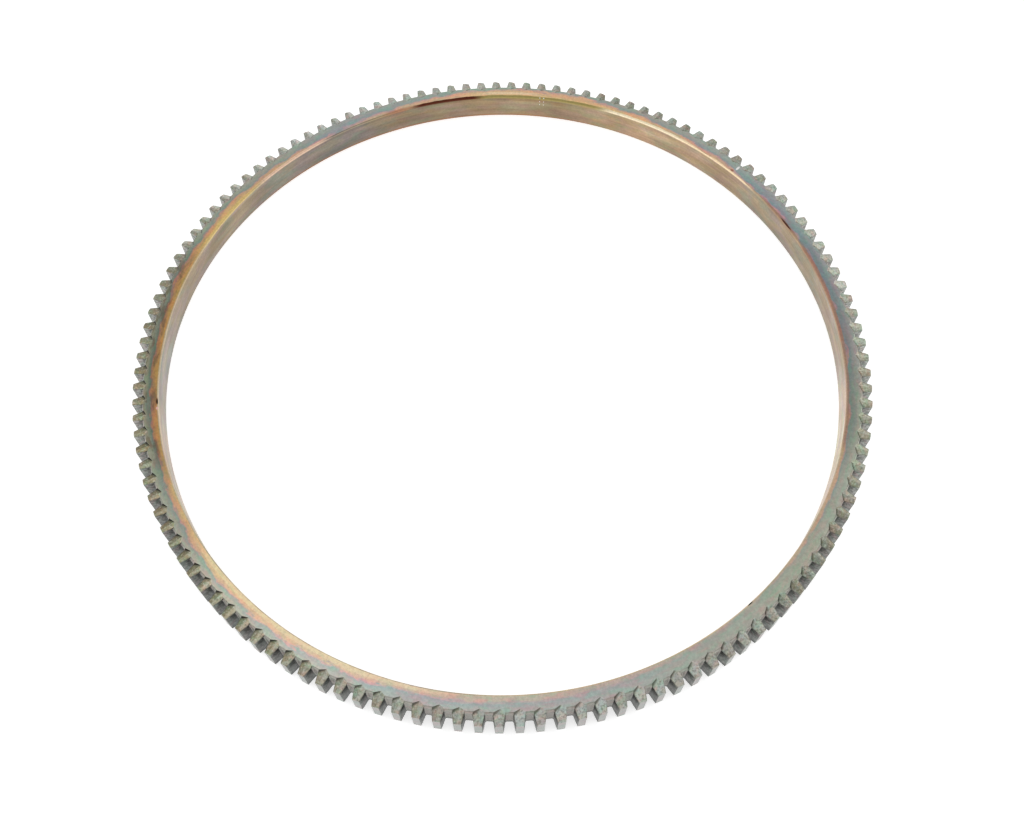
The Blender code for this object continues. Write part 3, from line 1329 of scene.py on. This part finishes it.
@dataclass(frozen=True)
class ToothFilm:
    """Grey scale on the teeth and gaps, with dark specks, casts and painted light and shade."""

    end_grey: Colour = colour(0.45, 0.495, 0.425)
    end_tan: Colour = colour(0.465, 0.475, 0.39)
    # Light specks on the ends, partly real specks and partly painted glints.
    end_glint_speck: Colour = colour(0.66, 0.70, 0.60)
    # Dark specks of scale. The same colour is the painted shadow next to the deep wall and darkens
    # the sides of the end.
    speck_and_shade: Colour = colour(0.12, 0.12, 0.085)
    # Painted light: the flanks go from this shaded tone to the lit one by how light falls on them
    # around the ring.
    flank_shaded: Colour = colour(0.080, 0.086, 0.080)
    flank_lit: Colour = colour(0.50, 0.50, 0.47)
    root: Colour = colour(0.325, 0.312, 0.28)
    # Painted shade: the steep wall goes from this shaded tone to the lit one by how light falls on
    # it around the ring.
    wall_shaded: Colour = colour(0.014, 0.012, 0.007)
    wall_lit: Colour = colour(0.24, 0.24, 0.21)
    tip: Colour = colour(0.385, 0.385, 0.375)
    patch_fade: Fade = Fade(0.35, 0.75)
    patch_share: float = 0.30
    spots: Mottle = Mottle(Noise(320.0, detail=2.0), Fade(0.44, 0.56))
    spot_share: float = 0.28
    face_share: float = 0.20
    ridge_blur: float = 0.10
    swing: float = 0.30
    grit: Noise = Noise(1000.0, rough=0.65)
    grit_dark: Fade = Fade(0.50, 0.64, 0.0, 0.52)
    grit_light: Fade = Fade(0.46, 0.36, 0.0, 0.42)
    tooth_taper: float = 0.38
    rim_unrest: float = 0.10
    rim: Fade = Fade(0.11, 0.0, 0.0, 0.62)
    # Painted shadow of the steep wall: a soft dark band on the deep facet next to it.
    wall_shadow: Fade = Fade(0.18, 0.02, 0.0, 0.75)
    # Painted shade: flanks darker deeper in the gap, toward the root.
    foot: Fade = Fade(1.02, 1.22, 0.45, 1.0)
    # Flanks and roots darker towards the bottom.
    base: Fade = Fade(0.02, 0.24, 0.30, 1.0)
    stain: Mottle = Mottle(Noise(620.0), Fade(0.40, 0.62, 0.70, 1.45))
    # Painted light: the gap roots follow the flank stop, lighter where the gaps are lit and darker
    # where shaded.
    root_least_lit: float = 0.75
    root_lit_rise: float = 2.2
    stops: tuple[ToothStop, ...] = (
        ToothStop(0.0, 0.97, 0.87, 0.55, 0.30, 0.40),
        ToothStop(18.0, 0.76, 0.72, 0.50, 0.30, 0.32),
        ToothStop(45.0, 1.24, 1.08, 0.35, 0.30, 0.28),
        ToothStop(64.0, 1.62, 1.06, 0.30, 0.30, 0.32),
        ToothStop(90.0, 1.18, 0.94, 0.30, 0.30, 0.22),
        ToothStop(125.0, 0.72, 1.08, 0.35, 0.30, 0.10),
        ToothStop(150.0, 0.86, 1.34, 0.50, 0.15, 0.35),
        ToothStop(168.0, 1.82, 1.50, 0.50, 0.00, 0.60),
        ToothStop(187.0, 1.78, 1.42, 0.45, 0.00, 0.84),
        ToothStop(208.0, 1.74, 1.22, 0.25, 0.05, 0.74),
        ToothStop(228.0, 1.80, 1.00, 0.15, 0.10, 0.70),
        ToothStop(250.0, 1.56, 1.02, 0.15, 0.50, 0.40),
        ToothStop(272.0, 1.00, 0.98, 0.08, 0.85, 0.14),
        ToothStop(286.0, 0.86, 0.97, 0.10, 0.80, 0.12),
        ToothStop(302.0, 0.98, 0.96, 0.20, 0.50, 0.10),
        ToothStop(317.0, 1.56, 1.40, 0.25, 0.30, 0.30),
        ToothStop(345.0, 1.18, 1.08, 0.50, 0.20, 0.50),
        ToothStop(360.0, 0.97, 0.87, 0.55, 0.30, 0.40),
    )

    def end(self, sheet: NodeSheet, place: Place, sizes: RingSizes, patches: Term, point: Term,
            face: Term) -> Term:
        """Colour the pointed ends.

        Args:
            sheet: The material's sheet.
            place: Results of the ring place group.
            sizes: The ring's sizes.
            patches: Coarse mottle from 0 to 1.
            point: Object coordinates.
            face: The face's colour.

        Returns:
            The colour.
        """
        side, across = place["Side"], place["Across"]
        ridge = 2.0 * sizes.ridge_offset / (sizes.pitch * sizes.root_radius)
        inset = sizes.apex_inset / (sizes.root_radius - sizes.bore_radius)
        slant = inset / (2.0 * sizes.half_tooth(sizes.root_radius) / sizes.pitch + ridge)
        stops = (place["Around"], self.stops)
        deep, shallow, olive = around_ring(sheet, *stops, "deep", "shallow", "olive")
        number = sheet.add("ShaderNodeTexWhiteNoise", noise_dimensions="1D")
        tone = sheet.result(number, output="Value")
        sheet.feed(number.inputs["W"], place["Tooth"])
        end = sheet.mix(tone, self.end_grey, self.end_tan)
        cast = sheet.mix(sheet.fade(patches, self.patch_fade), Cast.PINK, Cast.GREEN)
        end = sheet.cast(end, cast, self.patch_share)
        cast = sheet.mix(sheet.mottle(point, self.spots), Cast.GOLD, Cast.BLUE)
        end = sheet.cast(end, cast, self.spot_share)
        end = sheet.cast(end, sheet.mix(olive, Cast.CLEAR, Cast.MOSS))
        end = sheet.mix(self.face_share, end, face)
        # The facets' darkness by angle is partly the film's real change around the ring, partly
        # painted shade and light for how each facet faces the lamps.
        left = sheet.fade(side, Fade(ridge + self.ridge_blur, ridge - self.ridge_blur))
        swing = (tone - 0.5) * self.swing
        end = film(sheet, end, left * (deep - shallow) + shallow + swing)
        grit = sheet.noise(point, self.grit)
        end = sheet.mix(sheet.fade(grit, self.grit_dark), end, self.speck_and_shade)
        # Light specks, partly painted glints.
        end = sheet.mix(sheet.fade(grit, self.grit_light), end, self.end_glint_speck)
        # Darker along the sides of the end.
        rim = 1.0 - across * self.tooth_taper - sheet.math("ABSOLUTE", side)
        rim = rim + (patches - 0.5) * self.rim_unrest
        end = sheet.mix(sheet.fade(rim, self.rim), end, self.speck_and_shade)
        # Painted shadow of the steep wall on the deep facet.
        wall_shadow = across - ((ridge - side) * slant + (1.0 - inset))
        return sheet.mix(sheet.fade(wall_shadow, self.wall_shadow) * left, end, self.speck_and_shade)

    def paint(self, sheet: NodeSheet, place: Place, sizes: RingSizes, kind: Term, patches: Term,
              point: Term, face: Term) -> Term:
        """Colour the teeth and the gaps over the face's colour.

        Args:
            sheet: The material's sheet.
            place: Results of the ring place group.
            sizes: The ring's sizes.
            kind: Number of the surface kind.
            patches: Coarse mottle from 0 to 1.
            point: Object coordinates.
            face: The face's colour.

        Returns:
            The colour.
        """
        light, wall = around_ring(sheet, place["Around"], self.stops, "flank", "wall")
        # Darker towards the bottom. Foot adds painted shade on the flanks toward the root.
        base = sheet.fade(place["Height"], self.base)
        foot = sheet.fade(place["Across"], self.foot)
        # Painted light: the flank stop says how lit the flanks and the gap roots are at each
        # angle.
        flank = sheet.mix(light, self.flank_shaded, self.flank_lit)
        shades = {
            Surface.TOOTH_END: self.end(sheet, place, sizes, patches, point, face),
            Surface.FLANK: sheet.cast(flank, foot * base * sheet.mottle(point, self.stain)),
            Surface.TIP: self.tip,
            # Painted light on the gap roots by the flank stop, darker towards the bottom.
            Surface.ROOT: sheet.cast(self.root, (light * self.root_lit_rise + self.root_least_lit) * base),
            Surface.WALL: sheet.mix(wall, self.wall_shaded, self.wall_lit),
        }
        shade = face
        for surface, given in shades.items():
            shade = sheet.mix(surface.mask(sheet, kind), shade, given)
        return shade


@dataclass(frozen=True)
class EdgeArc:
    """A stretch of colour along the bore's edge, between two angles in degrees.

    Inner and outer are shares of the wall, and blur is the soft end in degrees.
    """

    start: float
    end: float
    inner: float
    outer: float
    shade: Colour
    strength: float
    blur: float


@dataclass(frozen=True)
class EdgeLines:
    """The dark and pale lines along the bore's upper edge."""

    wave: Noise = Noise(260.0)
    wave_height: float = 0.20
    height: Fade = Fade(0.90, 0.97)
    arcs: tuple[EdgeArc, ...] = (
        EdgeArc(-5.0, 22.0, -0.05, 0.22, colour(0.40, 0.20, 0.13), 0.75, 3.0),
        EdgeArc(20.0, 34.0, -0.20, 0.20, colour(0.30, 0.15, 0.10), 0.6, 4.0),
        EdgeArc(34.0, 56.0, -0.09, 0.09, colour(1.00, 0.78, 0.52), 0.95, 4.0),
        EdgeArc(50.0, 71.0, -0.09, 0.16, colour(1.00, 0.86, 0.62), 0.95, 4.0),
        EdgeArc(66.0, 97.0, -0.30, 0.20, colour(0.35, 0.285, 0.10), 0.95, 5.0),
        EdgeArc(91.0, 107.0, -0.30, 0.19, colour(0.10, 0.022, 0.010), 1.0, 3.0),
        EdgeArc(104.0, 113.0, -0.05, 0.20, colour(0.45, 0.17, 0.09), 0.6, 4.0),
        EdgeArc(80.0, 94.0, 0.24, 0.50, colour(0.92, 0.72, 0.48), 0.7, 4.0),
        EdgeArc(122.0, 141.0, -0.09, 0.17, colour(0.90, 0.62, 0.46), 0.75, 4.0),
        EdgeArc(138.0, 158.0, -0.05, 0.22, colour(0.74, 0.55, 0.20), 0.7, 5.0),
        EdgeArc(200.0, 262.0, -0.09, -0.02, colour(0.33, 0.27, 0.22), 0.7, 6.0),
        EdgeArc(212.0, 262.0, 0.02, 0.30, colour(1.00, 0.86, 0.58), 0.45, 8.0),
        EdgeArc(322.0, 340.0, 0.02, 0.24, colour(0.60, 0.42, 0.30), 0.6, 5.0),
        EdgeArc(338.0, 365.0, -0.05, 0.20, colour(0.36, 0.22, 0.16), 0.7, 4.0),
    )

    def paint(self, sheet: NodeSheet, place: Place, shade: Term) -> Term:
        """Colour the lines.

        Args:
            sheet: The material's sheet.
            place: Results of the ring place group.
            shade: The colour below.

        Returns:
            The colour.
        """
        wave = (sheet.noise(place["Flow"], self.wave) - 0.5) * self.wave_height
        across = wave + place["Across"]
        high = sheet.fade(place["Height"], self.height)
        group = edge_arc_group()
        for arc in self.arcs:
            mask = group.place(
                sheet, around=place["Around"], across=across, start=arc.start / 360.0,
                end=arc.end / 360.0, inner=arc.inner, outer=arc.outer, blur=arc.blur / 360.0,
            )["Mask"]
            shade = sheet.mix(mask * high * arc.strength, shade, arc.shade)
        return shade


@dataclass(frozen=True)
class SteelFinish:
    """Heat-tinted, hardened steel with thin scale, with painted light and shade on the teeth and
    in the gaps.
    """

    name: str = "heat_tinted_steel"
    face: FaceFilm = FaceFilm()
    bore: BoreFilm = BoreFilm()
    teeth: ToothFilm = ToothFilm()
    edge: EdgeLines = EdgeLines()
    metallic: float = 0.85
    grain_size: float = 1.3 * MM
    grain_contrast: float = 2.2
    grain_dark: Colour = colour(0.76, 0.77, 0.77)
    grain_light: Colour = colour(1.26, 1.25, 1.24)
    patch_size: float = 7.0 * MM
    patch_contrast: float = 2.6
    green: Mottle = Mottle(Noise(420.0), Fade(0.48, 0.62, 0.0, 0.60))
    pink: Mottle = Mottle(Noise(360.0), Fade(0.48, 0.62, 0.0, 0.60))
    worn_metal: Colour = colour(0.62, 0.63, 0.58)
    worn_patches: Fade = Fade(0.2, 0.7)
    worn_across: Fade = Fade(0.07, 0.12)
    worn_share: float = 0.4
    least_rough: float = 0.34
    grain_rough: float = 0.16
    worn_gloss: float = 0.06
    streak_relief: float = 0.5
    bump_strength: float = 0.35
    bump_depth: float = 0.10 * MM

    def scale(self, sheet: NodeSheet, place: Place, shade: Term) -> Term:
        """Tint the scale with green and pink clouds.

        Args:
            sheet: The material's sheet.
            place: Results of the ring place group.
            shade: The colour below.

        Returns:
            The colour.
        """
        mirrored = sheet.vector("MULTIPLY", place["Flow"], (-1.0, -1.0, 1.0))
        shade = sheet.cast(shade, Cast.GREEN, sheet.mottle(place["Flow"], self.green))
        return sheet.cast(shade, Cast.PINK, sheet.mottle(mirrored, self.pink))

    def build(self, sizes: RingSizes, marks: tuple[Mark, ...]) -> bpy.types.Material:
        """Build the material.

        Args:
            sizes: The ring's sizes.
            marks: The marks to colour.

        Returns:
            The node-based material.
        """
        material = bpy.data.materials.new(self.name)
        material.use_nodes = True
        sheet = NodeSheet(material.node_tree)
        point = Term(sheet, sheet.add("ShaderNodeTexCoord").outputs["Object"])
        place = ring_place_group(sizes).place(sheet, point=point)
        kind, broken = (
            Term(sheet, sheet.add("ShaderNodeAttribute", attribute_name=name).outputs["Fac"])
            for name in (SURFACE_KIND, BROKEN_EDGE)
        )
        grains = grain_group()
        grain = grains.place(
            sheet, point=point, size=self.grain_size, contrast=self.grain_contrast
        )
        patches = grains.place(
            sheet, point=point, size=self.patch_size, contrast=self.patch_contrast
        )["Mottle"]
        streaks = streak_group()

        face = self.face.paint(sheet, place)
        shade = self.teeth.paint(sheet, place, sizes, kind, patches, point, face)
        shade = self.scale(sheet, place, shade)
        bore = self.bore.paint(sheet, place, streaks, point)
        shade = sheet.mix(Surface.BORE.mask(sheet, kind), shade, bore)
        shade = self.edge.paint(sheet, place, shade)
        shade = sheet.cast(shade, sheet.mix(grain["Mottle"], self.grain_dark, self.grain_light))
        worn = broken * sheet.fade(patches, self.worn_patches)
        worn = worn * sheet.fade(place["Across"], self.worn_across)
        shade = sheet.mix(worn * self.worn_share, shade, self.worn_metal)
        spots = spot_group()
        for mark in marks:
            shade = mark.paint(sheet, spots, point, shade)

        lines = streaks.place(sheet, point=point, radius=place["Radius"])["Streak"]
        bump = sheet.feed_all(sheet.add("ShaderNodeBump"), {
            "Strength": self.bump_strength, "Distance": self.bump_depth,
            "Height": lines * self.streak_relief + grain["Height"],
        })
        rough = grain["Mottle"] * self.grain_rough + self.least_rough
        sheet.feed_all(material.node_tree.nodes["Principled BSDF"], {
            "Base Color": shade, "Metallic": self.metallic,
            "Roughness": rough - worn * self.worn_gloss, "Normal": bump.outputs[0],
        })
        return material


@dataclass
class RingGear:
    """The whole ring: pitches repeated around the axis, worn a little and nicked."""

    sizes: RingSizes
    finish: SteelFinish = SteelFinish()
    marks: tuple[Mark, ...] = MARKS
    wear_depth: float = 0.05 * MM
    wear_scale: float = 700.0
    wear_level: float = 0.75
    weld: float = 0.01 * MM
    seed: int = 7
    smooth_below: float = math.radians(32.0)

    def tree(self) -> bpy.types.NodeTree:
        """Build the tree that repeats a pitch around the axis.

        Returns:
            A Geometry Nodes tree with named inputs.
        """
        tree = bpy.data.node_groups.new("teeth_around_axis", "GeometryNodeTree")
        kinds = {
            "Geometry": GEOMETRY, "Teeth": WHOLE, "Pitch": FLOAT, "Weld": FLOAT,
            "Wear Depth": FLOAT, "Wear Scale": FLOAT, "Seed": WHOLE, "Steel": "NodeSocketMaterial",
        }
        for name, kind in kinds.items():
            tree.interface.new_socket(name, in_out="INPUT", socket_type=kind)
        tree.interface.new_socket("Geometry", in_out="OUTPUT", socket_type=GEOMETRY)
        sheet = NodeSheet(tree)
        given = sheet.add("NodeGroupInput").outputs
        index = sheet.result(sheet.add("GeometryNodeInputIndex"))
        points = sheet.feed_all(sheet.add("GeometryNodePoints"), {"Count": given["Teeth"]})
        copies = sheet.feed_all(sheet.add("GeometryNodeInstanceOnPoints"), {
            "Points": points.outputs[0], "Instance": given["Geometry"],
            "Rotation": sheet.join(0.0, 0.0, index * given["Pitch"]),
        })
        noise = sheet.feed_all(sheet.add("ShaderNodeTexNoise", noise_dimensions="4D"), {
            "Vector": sheet.result(sheet.add("GeometryNodeInputPosition")),
            "W": given["Seed"], "Scale": given["Wear Scale"],
        })
        worn = sheet.math("MINIMUM", Term(sheet, noise.outputs[0]) - self.wear_level, 0.0)
        offset = sheet.feed_all(sheet.add("ShaderNodeVectorMath", operation="SCALE"), {
            "Vector": sheet.result(sheet.add("GeometryNodeInputNormal")),
            "Scale": worn * given["Wear Depth"],
        })
        shape = copies.outputs[0]
        for kind, values in (
            ("GeometryNodeRealizeInstances", {}),
            ("GeometryNodeMergeByDistance", {"Distance": given["Weld"]}),
            ("GeometryNodeSetPosition", {"Offset": offset.outputs[0]}),
            ("GeometryNodeSetMaterial", {"Material": given["Steel"]}),
        ):
            shape = sheet.feed_all(sheet.add(kind), {"Geometry": shape, **values}).outputs[0]
        sheet.feed(sheet.add("NodeGroupOutput").inputs[0], shape)
        return tree

    def repeat(self, pitch: bpy.types.Object, steel: bpy.types.Material) -> None:
        """Put the tree on the pitch, with its inputs set by identifier.

        Args:
            pitch: The open pitch.
            steel: The material that the tree sets.
        """
        tree = self.tree()
        modifier = pitch.modifiers.new("teeth_around_axis", "NODES")
        modifier.node_group = tree
        values = {
            "Teeth": self.sizes.teeth, "Pitch": self.sizes.pitch, "Weld": self.weld,
            "Wear Depth": self.wear_depth, "Wear Scale": self.wear_scale, "Seed": self.seed,
            "Steel": steel,
        }
        for item in tree.interface.items_tree:
            if item.in_out == "INPUT" and item.name in values:
                modifier[item.identifier] = values[item.name]

    def nick_cutter(self) -> bpy.types.Object:
        """Return one object with the cutters of all nicks."""
        bm = bmesh.new()
        for mark in self.marks:
            if mark.cut:
                mark.add_cutter(bm)
        return object_of("nick_cutters", bm)

    def build(self) -> bpy.types.Object:
        """Build the ring and put it in the CAD node's place.

        Returns:
            The finished piece.
        """
        steel = self.finish.build(self.sizes, self.marks)
        pitch = ToothPitch(self.sizes).build()
        self.repeat(pitch, steel)
        cutter = self.nick_cutter()
        subtract(pitch, cutter)
        mesh = plain_mesh(pitch, "tinted_ring")
        mesh.materials.clear()
        mesh.materials.append(steel)
        mesh.polygons.foreach_set("material_index", [0] * len(mesh.polygons))
        remove(pitch)
        remove(cutter)
        mesh.shade_smooth()
        mesh.set_sharp_from_angle(angle=self.smooth_below)
        ring = new_object("tinted_ring", mesh)
        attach(ring, BODY)
        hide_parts(NODE)
        mesh.calc_loop_triangles()
        LOG.info("ring: %d triangles", len(mesh.loop_triangles))
        LOG.info("marks: %s", ", ".join(mark.name for mark in self.marks))
        return ring


@dataclass(frozen=True)
class Softbox:
    """A square lamp that faces the ring, with its place, size and power in metres and watts."""

    name: str
    place: tuple[float, float, float]
    size: float
    power: float

    def build(self) -> None:
        """Hang the lamp."""
        lamp = bpy.data.lights.new(self.name, "AREA")
        lamp.size = self.size
        lamp.energy = self.power
        obj = new_object(self.name, lamp)
        obj.location = self.place
        obj.rotation_euler = (-Vector(self.place)).to_track_quat("-Z", "Y").to_euler()


@dataclass
class Studio:
    """A pale floor, a light room and soft lamps."""

    floor_radius: float = 3.0
    floor_sides: int = 96
    floor_gap: float = 0.05 * MM
    floor_tone: float = 0.80
    floor_lift: float = 0.60
    room_light: Fade = Fade(0.2, 0.9, 0.98, 0.96)
    lamps: tuple[Softbox, ...] = (
        Softbox("left_softbox", (-1.2, 0.1, 0.9), 0.9, 1.2),
        Softbox("right_softbox", (1.2, 0.3, 0.9), 0.9, 1.2),
    )

    def floor(self) -> bpy.types.Object:
        """Lay the floor.

        Returns:
            A disc that looks white to the camera and in the steel.
        """
        bm = bmesh.new()
        bmesh.ops.create_circle(
            bm, cap_ends=True, segments=self.floor_sides, radius=self.floor_radius
        )
        floor = object_of("floor", bm)
        floor.location.z = -self.floor_gap
        material = bpy.data.materials.new("floor_paper")
        material.use_nodes = True
        sheet = NodeSheet(material.node_tree)
        material.node_tree.nodes.clear()
        rays = sheet.add("ShaderNodeLightPath").outputs
        seen = sheet.math("MAXIMUM", rays["Is Camera Ray"], rays["Is Glossy Ray"])
        seen = sheet.math("MAXIMUM", seen, rays["Is Transmission Ray"])
        tone = colour(*[self.floor_tone] * 3)
        paper = sheet.feed_all(sheet.add("ShaderNodeBsdfDiffuse"), {"Color": tone})
        glow = sheet.feed_all(
            sheet.add("ShaderNodeEmission"), {"Strength": seen * self.floor_lift}
        )
        both = sheet.result(
            sheet.add("ShaderNodeAddShader"), paper.outputs[0], glow.outputs[0]
        )
        sheet.feed(sheet.add("ShaderNodeOutputMaterial").inputs["Surface"], both)
        floor.data.materials.append(material)
        return floor

    def room(self) -> None:
        """Light the room softly, less from straight above than from the sides."""
        world = bpy.data.worlds.new("pale_room")
        bpy.context.scene.world = world
        world.use_nodes = True
        sheet = NodeSheet(world.node_tree)
        world.node_tree.nodes.clear()
        direction = sheet.add("ShaderNodeTexCoord").outputs["Generated"]
        height = sheet.parts("ShaderNodeSeparateXYZ", direction)[2]
        level = sheet.fade(height, self.room_light)
        camera_ray = sheet.add("ShaderNodeLightPath").outputs["Is Camera Ray"]
        strength = sheet.math("MAXIMUM", level, camera_ray)
        glow = sheet.feed_all(sheet.add("ShaderNodeBackground"), {"Strength": strength})
        sheet.feed(sheet.add("ShaderNodeOutputWorld").inputs["Surface"], glow.outputs[0])

    def build(self) -> None:
        """Build the studio."""
        self.floor()
        self.room()
        for lamp in self.lamps:
            lamp.build()
        LOG.info("studio: %d lamps", len(self.lamps))


@dataclass(frozen=True)
class PhotoCamera:
    """The photograph's camera, found by fitting the ring's outline and teeth.

    Lengths in pixels are in the 1024 x 819 frame, and the distance is in tip radii.
    """

    image_width: float = 1024.0
    image_height: float = 819.0
    focal_pixels: float = 1106.05
    distance: float = 3.09148
    elevation: float = math.radians(59.9)
    roll: float = math.radians(0.7336)
    aim_right: float = -1.957
    aim_down: float = -15.877
    middle_x: float = 504.08
    middle_y: float = 381.85
    turn: float = math.radians(1.083)
    sensor: float = 36.0
    nearest: float = 0.01

    def matrix(self, sizes: RingSizes) -> Matrix:
        """Work out where the camera stands.

        Args:
            sizes: The ring's sizes.

        Returns:
            The camera's place and axes.
        """
        back = Vector((0.0, -math.cos(self.elevation), math.sin(self.elevation)))
        right = Vector((1.0, 0.0, 0.0))
        up = right.cross(-back)
        axes = Matrix((right, up, back)).transposed()
        tilt = Matrix.Rotation(-self.roll, 3, "Z")
        pan = Matrix.Rotation(math.atan2(self.aim_right, self.focal_pixels), 3, "Y")
        nod = Matrix.Rotation(math.atan2(self.aim_down, self.focal_pixels), 3, "X")
        place = (axes @ tilt @ pan @ nod).to_4x4()
        place.translation = back * self.distance * sizes.tip_radius
        return Matrix.Rotation(-self.turn, 4, "Z") @ place

    def build(self, sizes: RingSizes) -> bpy.types.Object:
        """Set up the camera.

        Args:
            sizes: The ring's sizes.

        Returns:
            The scene's camera.
        """
        data = bpy.data.cameras.new("photo_camera")
        data.sensor_width = self.sensor
        data.lens = self.focal_pixels / self.image_width * self.sensor
        data.shift_x = (0.5 * self.image_width - self.middle_x) / self.image_width
        data.shift_y = (self.middle_y - 0.5 * self.image_height) / self.image_width
        data.clip_start = self.nearest
        camera = new_object("photo_camera", data)
        camera.matrix_world = self.matrix(sizes)
        bpy.context.scene.camera = camera
        return camera


def main() -> None:
    """Build the ring, the studio and the camera."""
    logging.basicConfig(level=logging.INFO, format="%(message)s")
    sizes = RingSizes.from_frame()
    outer, inner, module = sizes.tip_radius, sizes.bore_radius, sizes.module
    LOG.info("sizes: tip %.4f, bore %.4f, module %.5f", outer, inner, module)
    RingGear(sizes).build()
    Studio().build()
    PhotoCamera().build(sizes)
    bpy.context.scene.view_settings.view_transform = "Standard"


if __name__ == "__main__":
    main()
